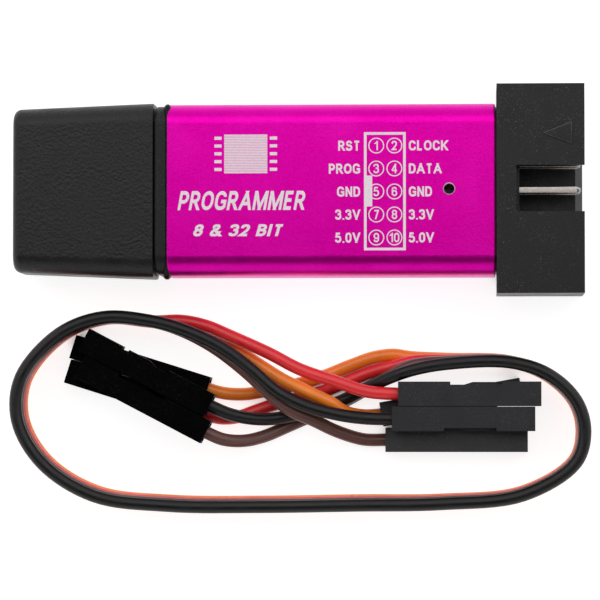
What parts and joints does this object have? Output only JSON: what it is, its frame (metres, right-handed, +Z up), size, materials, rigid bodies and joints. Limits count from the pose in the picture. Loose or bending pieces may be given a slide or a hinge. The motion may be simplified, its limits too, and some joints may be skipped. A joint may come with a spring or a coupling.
{
  "type": "usb microcontroller programmer",
  "caption": "Stick programmer with a USB plug under a pull-off cap, a tubular metal shell, a keyed box pin header and a loose jumper lead.",
  "frame": {"origin": "middle of the programmer's length and width, on the surface it lies on, under the header's flat underside", "axes": "+X along the programmer from USB cap to pin header, +Z up with the header's key notch up, the jumper lead lies on the -Y side"},
  "size_m": [0.057, 0.0418, 0.0091],
  "materials": {
    "anodised_tube": "fine-blasted magenta anodised extrusion with pale laser print",
    "cap_plastic": "fine matte moulding texture",
    "collar_plastic": "satin moulded black",
    "header_plastic": "satin moulded black",
    "tongue_plastic": "satin moulded black",
    "housing_plastic": "satin moulded black",
    "plug_steel": "bright nickel-plated pressed steel",
    "contact_gold": "gold flash",
    "pin_tin": "tin-plated brass",
    "terminal_tin": "tin-plated crimped strip",
    "solder_mask": "blue solder mask on glass-fibre laminate",
    "chip_epoxy": "moulded epoxy",
    "ceramic_body": "tan ceramic with tinned ends",
    "crystal_can": "satin metal lid",
    "led_lens": "clear moulded lens",
    "black_insulation": "satin PVC insulation",
    "brown_insulation": "satin PVC insulation",
    "red_insulation": "satin PVC insulation",
    "orange_insulation": "satin PVC insulation"
  },
  "bodies": {
    "programmer": {"end_collar": "collar_plastic", "tube_shell": "anodised_tube", "usb_plug_shell": "plug_steel", "usb_plug_tongue": "tongue_plastic", "header_shroud": "header_plastic", "circuit_board": "solder_mask", "microcontroller": "chip_epoxy", "crystal": "crystal_can", "regulator": "chip_epoxy", "status_led_red": "led_lens", "status_led_blue": "led_lens", "usb_contact_1": "contact_gold", "usb_contact_2": "contact_gold", "usb_contact_3": "contact_gold", "usb_contact_4": "contact_gold", "header_pin_1": "pin_tin", "header_pin_2": "pin_tin", "header_pin_3": "pin_tin", "header_pin_4": "pin_tin", "header_pin_5": "pin_tin", "header_pin_6": "pin_tin", "header_pin_7": "pin_tin", "header_pin_8": "pin_tin", "header_pin_9": "pin_tin", "header_pin_10": "pin_tin", "capacitor_1": "ceramic_body", "capacitor_2": "ceramic_body", "capacitor_3": "ceramic_body", "capacitor_4": "ceramic_body", "resistor_1": "chip_epoxy", "resistor_2": "chip_epoxy", "resistor_3": "chip_epoxy", "resistor_4": "chip_epoxy"},
    "cap": {"usb_cap": "cap_plastic"},
    "lead_set": {"wire_black": "black_insulation", "wire_brown": "brown_insulation", "wire_red": "red_insulation", "wire_orange": "orange_insulation", "housing_black_a": "housing_plastic", "housing_black_b": "housing_plastic", "housing_brown_a": "housing_plastic", "housing_brown_b": "housing_plastic", "housing_red_a": "housing_plastic", "housing_red_b": "housing_plastic", "housing_orange_a": "housing_plastic", "housing_orange_b": "housing_plastic", "terminal_black_a": "terminal_tin", "terminal_black_b": "terminal_tin", "terminal_brown_a": "terminal_tin", "terminal_brown_b": "terminal_tin", "terminal_red_a": "terminal_tin", "terminal_red_b": "terminal_tin", "terminal_orange_a": "terminal_tin", "terminal_orange_b": "terminal_tin"}
  },
  "joints": [
    {"name": "cap_pull", "type": "slide", "parent": "programmer", "child": "cap", "axis": [-1, 0, 0], "range_m": [0, 0.02]},
    {"name": "lead_lift", "type": "slide", "parent": "programmer", "child": "lead_set", "axis": [0, 0, 1], "range_m": [0, 0.06]}
  ]
}
